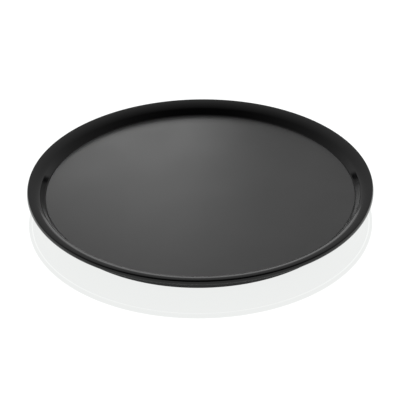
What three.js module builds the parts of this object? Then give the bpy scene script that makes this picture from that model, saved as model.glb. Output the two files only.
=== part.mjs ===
// A round serving tray, 400 mm across: a black moulded shell with a flared rim, a non-slip lining
// in its well, a steel hoop under its turned-down lip and a soft grip ring under its foot.
// Millimetres, +Z up. The origin is the centre of the circle that the tray stands on.

import * as THREE from "three";

// Driving dimensions.
const rimRadius = 200; // to the outside of the lip
const wellHeight = 13.4; // top of the lining above the table
const wellDepth = 11.8; // from the top of the lining up to the crest of the rim
const wall = 3; // thickness of the rim and of the side of the well
const floorThickness = 3; // thickness of the shell under the lining

// The side of the well rises straight and steep, then bends over into the rim as part of an ellipse.
const flareReach = 15.2; // half-axis of the ellipse along the radius
const flareDrop = 8.2; // upright half-axis of the ellipse
const sideAngle = 55; // degrees between the side and the table
const wellFillet = 1.2; // radius at the foot of the side

// The lip is turned down outside the crest and covers the hoop.
const lipRound = 1.6; // how far the lip reaches past the crest
const lipRoundDrop = 4; // height of the rounding outside the crest
const lipDrop = 5.8; // from the crest down to the lower edge of the lip
const lipDraft = 0.6; // how far the outside of the lip leans in below its widest line
const lipSkin = 1.7; // thickness of the lip outside the hoop
const edgeRound = 0.5; // radius of the small outside edges

const hoopDiameter = 2.8;
const hoopGap = 0.25; // play between the hoop and the channel it sits in
const hoopCover = 0.5; // from the lower edge of the lip up to the hoop
const beadWidth = 1.6; // the ridge on the inner side of the channel
const beadLift = 0.7; // from the lower edge of the lip up to the ridge

// The foot goes into the well of the tray below when trays are stacked.
const stackGap = 1; // from the foot to the side of the well round it
const footWidth = 6;
const footClearance = 0.8; // from the table up to the plastic of the foot
const footFillet = 1.5; // inside corner where the foot meets the floor
const footBlend = 4; // outside radius where the foot bends out into the side

const gripWidth = 3.2;
const gripHeight = 3.4;
const gripGap = 0.15; // play round the grip ring in its groove

const liningThickness = 1.2;
const liningGap = 0.3; // play round the edge of the lining
const bondLine = 0.1; // glue under the lining

const aroundSteps = 72; // facets around the tray
const facetDepth = 0.06; // how far a facet of a round may fall short of the true curve

// Levels and radii that follow from them.
const crestHeight = wellHeight + wellDepth;
const crestRadius = rimRadius - lipRound;
const flareCentre = crestHeight - flareDrop;
const lipBottom = crestHeight - lipDrop;
const recessFloor = wellHeight - liningThickness - bondLine;
const floorUnderside = recessFloor - floorThickness;

// The top face of the side runs on from where its ellipse is as steep as the side, to its fillet.
const sideSlope = Math.tan((sideAngle * Math.PI) / 180);
const flareTurn = turnToSide(flareReach, flareDrop);
const sideTop = onEllipse(crestRadius, flareCentre, flareReach, flareDrop, 90 + flareTurn);
const filletEnd = onEllipse(0, wellHeight + wellFillet, wellFillet, wellFillet, sideAngle - 90);
const wellRadius = sideTop.x - (sideTop.y - filletEnd.y) / sideSlope - filletEnd.x;

// The under face is the same ellipse less the wall, and its straight stretch ends on the foot.
const footRadius = wellRadius - stackGap;
const underReach = flareReach - wall;
const underDrop = flareDrop - wall;
const underTurn = turnToSide(underReach, underDrop);
const underTop = onEllipse(crestRadius, flareCentre, underReach, underDrop, 90 + underTurn);
const footTop = underTop.y - (underTop.x - footRadius) * sideSlope;
const blendStart = footTop - footBlend * Math.tan(((90 - sideAngle) * Math.PI) / 360);

const footInside = footRadius - footWidth;
const gripMiddle = footRadius - footWidth / 2;
const channelOutside = rimRadius - lipDraft - lipSkin;
const channelInside = channelOutside - hoopDiameter - 2 * hoopGap;
const hoopHeight = lipBottom + hoopCover + hoopDiameter / 2;

// A place in the (radius, height) plane.
function at(radius, height) {
  return new THREE.Vector2(radius, height);
}

// A place on an ellipse, at an angle in degrees from its outward half-axis, counted upwards.
function onEllipse(radius, height, halfAcross, halfUp, degrees) {
  const angle = (degrees * Math.PI) / 180;
  return at(radius + halfAcross * Math.cos(angle), height + halfUp * Math.sin(angle));
}

// How far an ellipse turns from its top until it is as steep as the side, in degrees.
function turnToSide(reach, drop) {
  return (Math.atan((sideSlope * reach) / drop) * 180) / Math.PI;
}

// Places along an ellipse from one angle to another, closer together where the curve is larger.
function arc(radius, height, halfAcross, halfUp, from, to) {
  const facetAngle = (Math.acos(1 - facetDepth / Math.max(halfAcross, halfUp)) * 360) / Math.PI;
  const steps = Math.ceil(Math.abs(to - from) / facetAngle);
  const places = [];
  for (let i = 0; i <= steps; i += 1) {
    places.push(onEllipse(radius, height, halfAcross, halfUp, from + ((to - from) * i) / steps));
  }
  return places;
}

// A body of revolution about +Z. Its outline runs outwards underneath and inwards on top.
function turned(name, outline, material) {
  const geometry = new THREE.LatheGeometry(outline, aroundSteps);
  geometry.rotateX(Math.PI / 2);
  const mesh = new THREE.Mesh(geometry, material);
  mesh.name = name;
  return mesh;
}

// The moulded body: floor, foot, side, flared rim and lip in one piece.
function trayShell(material) {
  const grooveHalf = gripWidth / 2 + gripGap;
  const grooveTop = gripHeight + gripGap;
  const foot = [
    ...arc(footInside - footFillet, floorUnderside - footFillet, footFillet, footFillet, 90, 0),
    at(footInside, footClearance),
    at(gripMiddle - grooveHalf, footClearance),
    at(gripMiddle - grooveHalf, grooveTop),
    at(gripMiddle + grooveHalf, grooveTop),
    at(gripMiddle + grooveHalf, footClearance),
    ...arc(footRadius - edgeRound, footClearance + edgeRound, edgeRound, edgeRound, -90, 0),
    ...arc(footRadius + footBlend, blendStart, footBlend, footBlend, 180, 90 + sideAngle),
  ];

  const beadInside = channelInside - beadWidth;
  const beadTurn = (Math.acos((beadInside - crestRadius) / underReach) * 180) / Math.PI;
  const underRim = arc(crestRadius, flareCentre, underReach, underDrop, 90 + underTurn, beadTurn);

  const channelTop = hoopHeight + hoopDiameter / 2 + hoopGap;
  const channel = [
    at(beadInside, lipBottom + beadLift),
    at(channelInside, lipBottom + beadLift),
    at(channelInside, channelTop),
    at(channelOutside, channelTop),
    at(channelOutside, lipBottom),
  ];

  const lipFoot = rimRadius - lipDraft - edgeRound;
  const lip = [
    ...arc(lipFoot, lipBottom + edgeRound, edgeRound, edgeRound, -90, 0),
    ...arc(crestRadius, crestHeight - lipRoundDrop, lipRound, lipRoundDrop, 0, 90),
  ];

  const flare = arc(crestRadius, flareCentre, flareReach, flareDrop, 90, 90 + flareTurn).slice(1);
  const fillet = arc(wellRadius, wellHeight + wellFillet, wellFillet, wellFillet, sideAngle - 90, -90);
  const well = [...flare, ...fillet, at(wellRadius, recessFloor), at(0, recessFloor)];

  const outline = [at(0, floorUnderside), ...foot, ...underRim, ...channel, ...lip, ...well];
  return turned("tray_shell", outline, material);
}

// The non-slip sheet bonded into the well, flush with the foot of the side.
function wellLining(material) {
  const radius = wellRadius - liningGap;
  const round = edgeRound / 2;
  const outline = [
    at(0, wellHeight - liningThickness),
    at(radius, wellHeight - liningThickness),
    ...arc(radius - round, wellHeight - round, round, round, 0, 90),
    at(0, wellHeight),
  ];
  return turned("well_lining", outline, material);
}

// The steel rod, bent to a hoop and butted, that stiffens the lip from below.
function rimHoop(material) {
  const half = hoopDiameter / 2;
  const middle = (channelInside + channelOutside) / 2;
  return turned("rim_hoop", arc(middle, hoopHeight, half, half, 0, 360), material);
}

// The soft ring pressed into the foot, which is all that touches the table.
function footGripRing(material) {
  const half = gripWidth / 2;
  const outline = [
    ...arc(gripMiddle - half + edgeRound, edgeRound, edgeRound, edgeRound, 180, 270),
    ...arc(gripMiddle + half - edgeRound, edgeRound, edgeRound, edgeRound, -90, 0),
    at(gripMiddle + half, gripHeight),
    at(gripMiddle - half, gripHeight),
  ];
  outline.push(outline[0].clone());
  return turned("foot_grip_ring", outline, material);
}

const glossBlack = new THREE.MeshStandardMaterial({ color: 0x101011, roughness: 0.18 });
const satinCharcoal = new THREE.MeshStandardMaterial({ color: 0x343434, roughness: 0.4 });
const brightSteel = new THREE.MeshStandardMaterial({ color: 0xb8babd, roughness: 0.3, metalness: 1 });
const softBlack = new THREE.MeshStandardMaterial({ color: 0x181818, roughness: 0.85 });

const tray = new THREE.Group();
tray.add(trayShell(glossBlack));
tray.add(wellLining(satinCharcoal));
tray.add(rimHoop(brightSteel));
tray.add(footGripRing(softBlack));

export default tray;
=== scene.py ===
import math

import bpy
from mathutils import Matrix, Vector


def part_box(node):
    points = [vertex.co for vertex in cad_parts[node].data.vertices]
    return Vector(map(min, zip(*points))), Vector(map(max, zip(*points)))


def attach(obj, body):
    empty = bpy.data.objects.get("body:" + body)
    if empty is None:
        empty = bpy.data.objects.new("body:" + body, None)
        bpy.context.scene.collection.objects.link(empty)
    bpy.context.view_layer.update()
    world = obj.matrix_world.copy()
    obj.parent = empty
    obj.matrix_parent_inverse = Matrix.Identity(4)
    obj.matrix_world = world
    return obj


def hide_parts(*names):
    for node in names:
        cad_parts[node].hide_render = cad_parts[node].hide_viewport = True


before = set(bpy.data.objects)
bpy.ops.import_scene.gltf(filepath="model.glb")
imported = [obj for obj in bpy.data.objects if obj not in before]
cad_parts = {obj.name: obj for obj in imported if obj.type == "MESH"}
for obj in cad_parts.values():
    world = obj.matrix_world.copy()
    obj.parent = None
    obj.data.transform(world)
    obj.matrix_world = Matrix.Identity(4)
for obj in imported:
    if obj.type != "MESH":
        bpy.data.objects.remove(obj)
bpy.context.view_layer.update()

# ---------------------------------------------------------------------------------------------
# Tray shell. One moulding in polished black plastic: the floor of the well, its steep side, the
# flared rim with its lip turned down, and the foot ring. The other pieces are pressed or bonded
# into it. The stub of the gate that it was filled through is left in a small dish underneath.
# ---------------------------------------------------------------------------------------------

shell_low, shell_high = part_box("tray_shell")
lining_low, lining_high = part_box("well_lining")
grip_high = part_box("foot_grip_ring")[1]
hoop_low, hoop_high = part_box("rim_hoop")

rim_radius = shell_high.x
crest_height = shell_high.z
foot_bottom = shell_low.z
well_height = lining_high.z

wall = 0.003
flare_reach = 0.0152
flare_drop = 0.0082
side_angle = 55
well_fillet = 0.0012
lip_round = 0.0016
lip_round_drop = 0.004
lip_drop = 0.0058
lip_draft = 0.0006
edge_round = 0.0005

floor_thickness = 0.003
stack_gap = 0.001
foot_width = 0.006
foot_fillet = 0.0015
foot_blend = 0.004
gate_dish = 0.006
gate_dish_depth = 0.0006
gate_stub = 0.0011
gate_stub_height = 0.0003

lining_gap = 0.0003
bond_line = 0.0001
grip_width = 0.0032
grip_gap = 0.00015
hoop_gap = 0.00025
bead_width = 0.0016
bead_lift = 0.0007

around_steps = 288


def on_ellipse(radius, height, across, up, degrees):
    """A place on an ellipse, at an angle counted upwards from its outward half-axis."""
    angle = math.radians(degrees)
    return (radius + across * math.cos(angle), height + up * math.sin(angle))


def arc(radius, height, across, up, start, end):
    """Places along an ellipse, one at least every 8 degrees and, on a large one, every 0.4 mm."""
    sweep = abs(end - start)
    length = math.radians(sweep) * max(across, up)
    steps = math.ceil(max(sweep / 8, length / 0.0004))
    turns = [start + (end - start) * i / steps for i in range(steps + 1)]
    return [on_ellipse(radius, height, across, up, turn) for turn in turns]


def eased(outline):
    """The outline with a place added close to both ends of each long straight, so that it shades flat."""
    hold = 0.00025
    widest = 0.012
    places = [outline[0]]
    for here, there in zip(outline, outline[1:]):
        span = math.dist(here, there)
        if span > 6 * hold:
            inner = math.ceil((span - 2 * hold) / widest)
            along = [hold + (span - 2 * hold) * i / inner for i in range(inner + 1)]
            step = ((there[0] - here[0]) / span, (there[1] - here[1]) / span)
            places += [(here[0] + step[0] * reach, here[1] + step[1] * reach) for reach in along]
        places.append(there)
    return places


def as_piece(name, verts, faces):
    """A piece with smooth faces that meet in a crisp line where they turn by more than 40 degrees."""
    mesh = bpy.data.meshes.new(name)
    mesh.from_pydata(verts, [], faces)
    mesh.validate()
    mesh.polygons.foreach_set("use_smooth", [True] * len(mesh.polygons))
    mesh.set_sharp_from_angle(angle=math.radians(40))
    piece = bpy.data.objects.new(name, mesh)
    bpy.context.scene.collection.objects.link(piece)
    return piece


def turned(name, outline, closed=False):
    """A body of revolution. Its outline runs outwards below and inwards above, or once round a ring."""
    places = eased(outline)
    if closed:
        places = places[:-1]
    verts = []
    rings = []
    for radius, height in places:
        if radius == 0:
            rings.append([len(verts)])
            verts.append((0, 0, height))
            continue
        rings.append(range(len(verts), len(verts) + around_steps))
        for k in range(around_steps):
            turn = 2 * math.pi * k / around_steps
            verts.append((radius * math.cos(turn), radius * math.sin(turn), height))
    pairs = list(zip(rings, rings[1:]))
    if closed:
        pairs.append((rings[-1], rings[0]))
    faces = []
    for first, second in pairs:
        for k in range(around_steps):
            n = (k + 1) % around_steps
            if len(first) == 1:
                faces.append((first[0], second[n], second[k]))
            elif len(second) == 1:
                faces.append((first[k], first[n], second[0]))
            else:
                faces.append((first[k], first[n], second[n], second[k]))
    return as_piece(name, verts, faces)


crest_radius = rim_radius - lip_round
flare_centre = crest_height - flare_drop
lip_bottom = crest_height - lip_drop
recess_floor = lining_low.z - bond_line
floor_underside = recess_floor - floor_thickness
well_radius = lining_high.x + lining_gap

side_slope = math.tan(math.radians(side_angle))
flare_turn = math.degrees(math.atan(side_slope * flare_reach / flare_drop))
under_reach = flare_reach - wall
under_drop = flare_drop - wall
under_turn = math.degrees(math.atan(side_slope * under_reach / under_drop))

foot_radius = well_radius - stack_gap
foot_inside = foot_radius - foot_width
under_top = on_ellipse(crest_radius, flare_centre, under_reach, under_drop, 90 + under_turn)
foot_top = under_top[1] - (under_top[0] - foot_radius) * side_slope
blend_start = foot_top - foot_blend * math.tan(math.radians(90 - side_angle) / 2)
groove_inside = grip_high.x - grip_width - grip_gap
groove_outside = grip_high.x + grip_gap
groove_top = grip_high.z + grip_gap

channel_outside = hoop_high.x + hoop_gap
channel_inside = channel_outside - (hoop_high.z - hoop_low.z) - 2 * hoop_gap
channel_top = hoop_high.z + hoop_gap
bead_inside = channel_inside - bead_width

gate = [
    (0, floor_underside + gate_dish_depth - gate_stub_height),
    (gate_stub, floor_underside + gate_dish_depth - gate_stub_height),
    (gate_stub, floor_underside + gate_dish_depth),
    (gate_dish, floor_underside + gate_dish_depth),
    (gate_dish + gate_dish_depth, floor_underside),
]
foot = [
    *arc(foot_inside - foot_fillet, floor_underside - foot_fillet, foot_fillet, foot_fillet, 90, 0),
    *arc(foot_inside + edge_round, foot_bottom + edge_round, edge_round, edge_round, 180, 270),
    (groove_inside, foot_bottom),
    (groove_inside, groove_top),
    (groove_outside, groove_top),
    (groove_outside, foot_bottom),
    *arc(foot_radius - edge_round, foot_bottom + edge_round, edge_round, edge_round, -90, 0),
    *arc(foot_radius + foot_blend, blend_start, foot_blend, foot_blend, 180, 90 + side_angle),
]

bead_turn = math.degrees(math.acos((bead_inside - crest_radius) / under_reach))
under_rim = arc(crest_radius, flare_centre, under_reach, under_drop, 90 + under_turn, bead_turn)
channel = [
    (bead_inside, lip_bottom + bead_lift),
    (channel_inside, lip_bottom + bead_lift),
    (channel_inside, channel_top),
    (channel_outside, channel_top),
    (channel_outside, lip_bottom),
]
lip_foot = rim_radius - lip_draft - edge_round
lip = [
    *arc(lip_foot, lip_bottom + edge_round, edge_round, edge_round, -90, 0),
    *arc(crest_radius, crest_height - lip_round_drop, lip_round, lip_round_drop, 0, 90),
]
flare = arc(crest_radius, flare_centre, flare_reach, flare_drop, 90, 90 + flare_turn)[1:]
fillet = arc(well_radius, well_height + well_fillet, well_fillet, well_fillet, side_angle - 90, -90)
recess = [(well_radius, recess_floor), (0, recess_floor)]

shell = turned(
    "tray_shell_moulding",
    [*gate, *foot, *under_rim, *channel, *lip, *flare, *fillet, *recess],
)


def finish_from(name, colour, roughness):
    """A new material, with the nodes it is made of and its shader."""
    finish = bpy.data.materials.new(name)
    finish.use_nodes = True
    finish.diffuse_color = (*colour, 1)
    nodes = finish.node_tree
    shader = nodes.nodes["Principled BSDF"]
    shader.inputs["Base Color"].default_value = (*colour, 1)
    shader.inputs["Roughness"].default_value = roughness
    return finish, nodes, shader


def object_place(nodes):
    """The place on the piece, in metres."""
    return nodes.nodes.new("ShaderNodeTexCoord").outputs["Object"]


def stretched(nodes, place, turn, stretch):
    """The place turned about +Z by some degrees, then scaled by the three stretches."""
    mapping = nodes.nodes.new("ShaderNodeMapping")
    mapping.inputs["Rotation"].default_value = (0, 0, math.radians(turn))
    mapping.inputs["Scale"].default_value = stretch
    nodes.links.new(place, mapping.inputs["Vector"])
    return mapping.outputs["Vector"]


def mottle(nodes, place, size, detail=2):
    """Soft noise whose patches are about as large as the size, in metres."""
    noise = nodes.nodes.new("ShaderNodeTexNoise")
    noise.inputs["Scale"].default_value = 1 / size
    noise.inputs["Detail"].default_value = detail
    nodes.links.new(place, noise.inputs["Vector"])
    return noise.outputs["Fac"]


def between(nodes, source, start, end, low, high):
    """The source, with its stretch from start to end spread over low to high."""
    spread = nodes.nodes.new("ShaderNodeMapRange")
    spread.inputs["From Min"].default_value = start
    spread.inputs["From Max"].default_value = end
    spread.inputs["To Min"].default_value = low
    spread.inputs["To Max"].default_value = high
    nodes.links.new(source, spread.inputs["Value"])
    return spread.outputs["Result"]


def worked(nodes, operation, first, second):
    """Two numbers added, multiplied or compared. Either may be a plain number."""
    math_node = nodes.nodes.new("ShaderNodeMath")
    math_node.operation = operation
    for socket, value in zip(math_node.inputs, (first, second)):
        if isinstance(value, (int, float)):
            socket.default_value = value
        else:
            nodes.links.new(value, socket)
    return math_node.outputs["Value"]


def shaded(nodes, source, dark, light):
    """A colour between dark and light, by the source."""
    mix = nodes.nodes.new("ShaderNodeMix")
    mix.data_type = "RGBA"
    mix.inputs["A"].default_value = (*dark, 1)
    mix.inputs["B"].default_value = (*light, 1)
    nodes.links.new(source, mix.inputs["Factor"])
    return next(socket for socket in mix.outputs if socket.type == "RGBA")


def relief(nodes, shader, source, depth):
    """Raises the surface by the source, over a depth in metres, on top of any relief it has."""
    bump = nodes.nodes.new("ShaderNodeBump")
    bump.inputs["Distance"].default_value = depth
    nodes.links.new(source, bump.inputs["Height"])
    if shader.inputs["Normal"].is_linked:
        nodes.links.new(shader.inputs["Normal"].links[0].from_socket, bump.inputs["Normal"])
    nodes.links.new(bump.outputs["Normal"], shader.inputs["Normal"])


# Polished moulding: a faint ripple left by the mould, hairlines from wiping, and a duller crest
# and foot where stacked trays rub.
gloss_black, nodes, shader = finish_from("gloss_black_moulding", (0.0024, 0.0024, 0.0027), 0.12)
place = object_place(nodes)
height = nodes.nodes.new("ShaderNodeSeparateXYZ")
nodes.links.new(place, height.inputs["Vector"])
shader.inputs["IOR"].default_value = 1.42
ripple = mottle(nodes, place, 0.0024, detail=1)
wiped_one_way = mottle(nodes, stretched(nodes, place, 28, (0.02, 1, 0.3)), 0.00022)
wiped_another = mottle(nodes, stretched(nodes, place, -41, (0.02, 1, 0.3)), 0.00026)
hairlines = worked(
    nodes,
    "MAXIMUM",
    between(nodes, wiped_one_way, 0.66, 0.74, 0, 1),
    between(nodes, wiped_another, 0.67, 0.75, 0, 1),
)
rubbed_crest = between(nodes, height.outputs["Z"], crest_height - 0.0004, crest_height, 0, 1)
rubbed_foot = between(nodes, height.outputs["Z"], foot_bottom + 0.0009, foot_bottom, 0, 1)
rubbed = worked(nodes, "MAXIMUM", rubbed_crest, rubbed_foot)
rub_marks = between(nodes, mottle(nodes, place, 0.004, detail=4), 0.48, 0.62, 0, 1)
wear = worked(nodes, "MULTIPLY", rubbed, rub_marks)
cloudy = between(nodes, mottle(nodes, place, 0.03, detail=3), 0.3, 0.7, 0.07, 0.11)
scuffed = worked(nodes, "ADD", cloudy, worked(nodes, "MULTIPLY", hairlines, 0.05))
dulled = worked(nodes, "ADD", scuffed, worked(nodes, "MULTIPLY", wear, 0.05))
nodes.links.new(dulled, shader.inputs["Roughness"])
black_or_worn = shaded(nodes, wear, (0.0024, 0.0024, 0.0027), (0.006, 0.006, 0.0063))
nodes.links.new(black_or_worn, shader.inputs["Base Color"])
relief(nodes, shader, ripple, 0.000004)
relief(nodes, shader, hairlines, -0.0000015)
shell.data.materials.append(gloss_black)
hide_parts("tray_shell")
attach(shell, "root")

# ---------------------------------------------------------------------------------------------
# Well lining. A satin charcoal sheet with a fine pebbled face that keeps glasses from sliding,
# die cut to a disc and bonded into the recess of the shell, flush with the foot of its side.
# ---------------------------------------------------------------------------------------------

lining_round = 0.00025
lining_edge = lining_high.x - lining_round
lining = turned(
    "well_lining_sheet",
    [
        (0, lining_low.z),
        (lining_high.x, lining_low.z),
        *arc(lining_edge, well_height - lining_round, lining_round, lining_round, 0, 90),
        (0, well_height),
    ],
)

satin_charcoal, nodes, shader = finish_from("satin_charcoal_lining", (0.032, 0.032, 0.032), 0.35)
shader.inputs["IOR"].default_value = 1.4
place = object_place(nodes)
pebbles = nodes.nodes.new("ShaderNodeTexVoronoi")
pebbles.feature = "SMOOTH_F1"
pebbles.inputs["Scale"].default_value = 1 / 0.0007
nodes.links.new(place, pebbles.inputs["Vector"])
fine_grain = mottle(nodes, place, 0.00025)
handled = between(nodes, mottle(nodes, place, 0.05, detail=3), 0.3, 0.7, 0.33, 0.37)
speckled = between(nodes, mottle(nodes, place, 0.0012), 0.3, 0.7, -0.02, 0.02)
nodes.links.new(worked(nodes, "ADD", handled, speckled), shader.inputs["Roughness"])
tone = mottle(nodes, place, 0.0009, detail=3)
charcoal = shaded(nodes, tone, (0.029, 0.029, 0.029), (0.035, 0.035, 0.035))
nodes.links.new(charcoal, shader.inputs["Base Color"])
relief(nodes, shader, pebbles.outputs["Distance"], -0.000008)
relief(nodes, shader, fine_grain, 0.000002)
lining.data.materials.append(satin_charcoal)
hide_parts("well_lining")
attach(lining, "root")

# ---------------------------------------------------------------------------------------------
# Rim hoop. A drawn steel rod bent to a hoop, its chamfered ends butted at the back with a small
# gap. It is pressed up past a bead into the channel under the lip, and keeps the rim round.
# ---------------------------------------------------------------------------------------------

rod_half = (hoop_high.z - hoop_low.z) / 2
rod_middle = hoop_high.x - rod_half
rod_height = hoop_low.z + rod_half
rod_sides = 40
end_gap = 0.0006
end_chamfer = 0.0003


def rod_section(turn, half):
    """The round section of the rod, at an angle about the tray's axis."""
    turns = [360 * i / rod_sides for i in range(rod_sides)]
    outline = [on_ellipse(rod_middle, rod_height, half, half, degrees) for degrees in turns]
    return [(radius * math.cos(turn), radius * math.sin(turn), height) for radius, height in outline]


open_angle = end_gap / rod_middle
chamfer_angle = end_chamfer / rod_middle
first_turn = math.pi / 2 + open_angle / 2
last_turn = first_turn + 2 * math.pi - open_angle
shaft_start = first_turn + chamfer_angle
shaft_sweep = last_turn - chamfer_angle - shaft_start
shaft = [shaft_start + shaft_sweep * k / around_steps for k in range(around_steps + 1)]
sections = [
    rod_section(first_turn, rod_half - end_chamfer),
    *[rod_section(turn, rod_half) for turn in shaft],
    rod_section(last_turn, rod_half - end_chamfer),
]
verts = [corner for section in sections for corner in section]
faces = []
for k in range(len(sections) - 1):
    for i in range(rod_sides):
        n = (i + 1) % rod_sides
        here = k * rod_sides
        there = here + rod_sides
        faces.append((here + i, there + i, there + n, here + n))
first_end = len(verts)
verts.append((rod_middle * math.cos(first_turn), rod_middle * math.sin(first_turn), rod_height))
last_end = len(verts)
verts.append((rod_middle * math.cos(last_turn), rod_middle * math.sin(last_turn), rod_height))
last_ring = (len(sections) - 1) * rod_sides
for i in range(rod_sides):
    n = (i + 1) % rod_sides
    faces.append((first_end, i, n))
    faces.append((last_end, last_ring + n, last_ring + i))
hoop = as_piece("rim_hoop_rod", verts, faces)

drawn_steel, nodes, shader = finish_from("drawn_steel_rod", (0.55, 0.56, 0.57), 0.3)
shader.inputs["Metallic"].default_value = 1
place = object_place(nodes)
parts = nodes.nodes.new("ShaderNodeSeparateXYZ")
nodes.links.new(place, parts.inputs["Vector"])
towards_front = worked(nodes, "MULTIPLY", parts.outputs["Y"], -1)
round_the_hoop = worked(nodes, "ARCTAN2", parts.outputs["X"], towards_front)
from_axis = nodes.nodes.new("ShaderNodeVectorMath")
from_axis.operation = "LENGTH"
nodes.links.new(place, from_axis.inputs[0])
along_the_rod = nodes.nodes.new("ShaderNodeCombineXYZ")
nodes.links.new(worked(nodes, "MULTIPLY", round_the_hoop, rod_middle * 0.01), along_the_rod.inputs["X"])
nodes.links.new(from_axis.outputs["Value"], along_the_rod.inputs["Y"])
nodes.links.new(parts.outputs["Z"], along_the_rod.inputs["Z"])
die_lines = mottle(nodes, along_the_rod.outputs["Vector"], 0.00012)
dull_patches = mottle(nodes, place, 0.012, detail=3)
steel_roughness = worked(
    nodes,
    "ADD",
    between(nodes, die_lines, 0.3, 0.7, 0.22, 0.32),
    between(nodes, dull_patches, 0.4, 0.7, 0, 0.12),
)
nodes.links.new(steel_roughness, shader.inputs["Roughness"])
bright_or_dull = shaded(nodes, dull_patches, (0.58, 0.59, 0.6), (0.46, 0.455, 0.44))
nodes.links.new(bright_or_dull, shader.inputs["Base Color"])
relief(nodes, shader, die_lines, 0.000006)
hoop.data.materials.append(drawn_steel)
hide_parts("rim_hoop")
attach(hoop, "root")

# ---------------------------------------------------------------------------------------------
# Foot grip ring. A ring of soft black rubber pressed into the groove of the foot, with two fine
# grooves in the face that stands on the table. It is all of the tray that touches the table.
# ---------------------------------------------------------------------------------------------

grip_inside = grip_high.x - grip_width
tread_width = 0.0004
tread_depth = 0.0003
tread = []
for share in (1 / 3, 2 / 3):
    middle = grip_inside + edge_round + (grip_width - 2 * edge_round) * share
    tread += [
        (middle - tread_width / 2, 0),
        (middle - tread_width / 4, tread_depth),
        (middle + tread_width / 4, tread_depth),
        (middle + tread_width / 2, 0),
    ]
grip = turned(
    "foot_grip_ring_soft",
    [
        (grip_inside, grip_high.z),
        *arc(grip_inside + edge_round, edge_round, edge_round, edge_round, 180, 270),
        *tread,
        *arc(grip_high.x - edge_round, edge_round, edge_round, edge_round, -90, 0),
        (grip_high.x, grip_high.z),
        (grip_inside, grip_high.z),
    ],
    closed=True,
)

soft_black, nodes, shader = finish_from("soft_black_ring", (0.013, 0.013, 0.013), 0.8)
place = object_place(nodes)
dusty = between(nodes, mottle(nodes, place, 0.006, detail=4), 0.5, 0.75, 0, 1)
clean_or_dusty = shaded(nodes, dusty, (0.012, 0.012, 0.012), (0.03, 0.029, 0.027))
nodes.links.new(clean_or_dusty, shader.inputs["Base Color"])
matt = between(nodes, mottle(nodes, place, 0.002), 0.3, 0.7, 0.72, 0.86)
nodes.links.new(matt, shader.inputs["Roughness"])
relief(nodes, shader, mottle(nodes, place, 0.0004), 0.00001)
grip.data.materials.append(soft_black)
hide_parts("foot_grip_ring")
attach(grip, "root")

# ---------------------------------------------------------------------------------------------
# Table, lights and camera. The tray stands on a pale glossy light table in a plain white studio.
# Soft panels behind and above it light the tray, and a tall white one is mirrored in the table.
# ---------------------------------------------------------------------------------------------

table_half = 6
table_mesh = bpy.data.meshes.new("light_table")
sides = (-table_half, table_half)
corners = [(x, y, 0) for x in sides for y in sides]
table_mesh.from_pydata(corners, [], [(0, 2, 3, 1)])
table = bpy.data.objects.new("light_table", table_mesh)
bpy.context.scene.collection.objects.link(table)
glossy_white, nodes, shader = finish_from("glossy_white_table", (0.05, 0.05, 0.05), 0.03)
shader.inputs["IOR"].default_value = 2.3
shader.inputs["Emission Color"].default_value = (0.985, 1, 0.99, 1)
shader.inputs["Emission Strength"].default_value = 0.85
table_mesh.materials.append(glossy_white)

# The studio is dark in front of the tray and grows lighter towards the back.
world = bpy.data.worlds.new("studio")
bpy.context.scene.world = world
world.use_nodes = True
studio = world.node_tree
direction = studio.nodes.new("ShaderNodeTexCoord")
towards = studio.nodes.new("ShaderNodeSeparateXYZ")
studio.links.new(direction.outputs["Generated"], towards.inputs["Vector"])
dark_until = -0.85
light_from = 0.6
back_radiance = 0.44
lightness = between(studio, towards.outputs["Y"], dark_until, light_from, 0, back_radiance)
studio.links.new(lightness, studio.nodes["Background"].inputs["Strength"])
studio.nodes["Background"].inputs["Color"].default_value = (1, 1, 1, 1)


def lit_by_panel(name, pieces, place, towards, width, height, radiance):
    """A lamp panel that gives the pieces the same light all over its face, out of the camera's sight."""
    lamp = bpy.data.lights.new(name, "AREA")
    lamp.shape = "RECTANGLE"
    lamp.size = width
    lamp.size_y = height
    lamp.energy = radiance * math.pi * width * height
    panel = bpy.data.objects.new(name, lamp)
    panel.location = place
    panel.rotation_euler = (Vector(towards) - Vector(place)).to_track_quat("-Z", "Y").to_euler()
    panel.visible_camera = False
    bpy.context.scene.collection.objects.link(panel)
    lit = bpy.data.collections.new(name + "_lights")
    for piece in pieces:
        lit.objects.link(piece)
    panel.light_linking.receiver_collection = lit
    return panel


tray_pieces = [shell, lining, hoop, grip]
lit_by_panel("low_back_panel", [lining], (-0.14, 0.75, 0.31), (-0.14, 0, 0.31), 0.34, 0.2, 3.3)
lit_by_panel("high_back_panel", [lining], (0.2, 0.75, 0.51), (0.2, 0, 0.51), 0.7, 0.2, 1.1)
lit_by_panel("far_backdrop", [shell], (0, 4, 0.6), (0, 0, 0.6), 1.8, 1.2, 0.65)
lit_by_panel("white_sweep", [table], (0, 4, 2.5), (0, 0, 2.5), 12, 5, 0.9)
overhead = lit_by_panel("overhead_fill", tray_pieces, (0, 0, 3), (0, 0, 0), 5, 5, 0.4)
overhead.visible_glossy = False

camera_back = 10.522 * rim_radius
camera_height = 6.6 * rim_radius
camera_roll = -0.72
camera_data = bpy.data.cameras.new("camera")
camera_data.lens = 192.5
camera_data.sensor_width = 36
camera = bpy.data.objects.new("camera", camera_data)
camera.location = (0, -camera_back, camera_height)
aim = Vector((-0.0004, 0, 0.0028))
look = (aim - camera.location).to_track_quat("-Z", "Y").to_matrix()
tilt = Matrix.Rotation(math.radians(camera_roll), 3, "Z")
camera.matrix_world = Matrix.Translation(camera.location) @ (look @ tilt).to_4x4()
bpy.context.scene.collection.objects.link(camera)
bpy.context.scene.camera = camera

bpy.context.scene.view_settings.view_transform = "Standard"
bpy.context.scene.view_settings.look = "None"
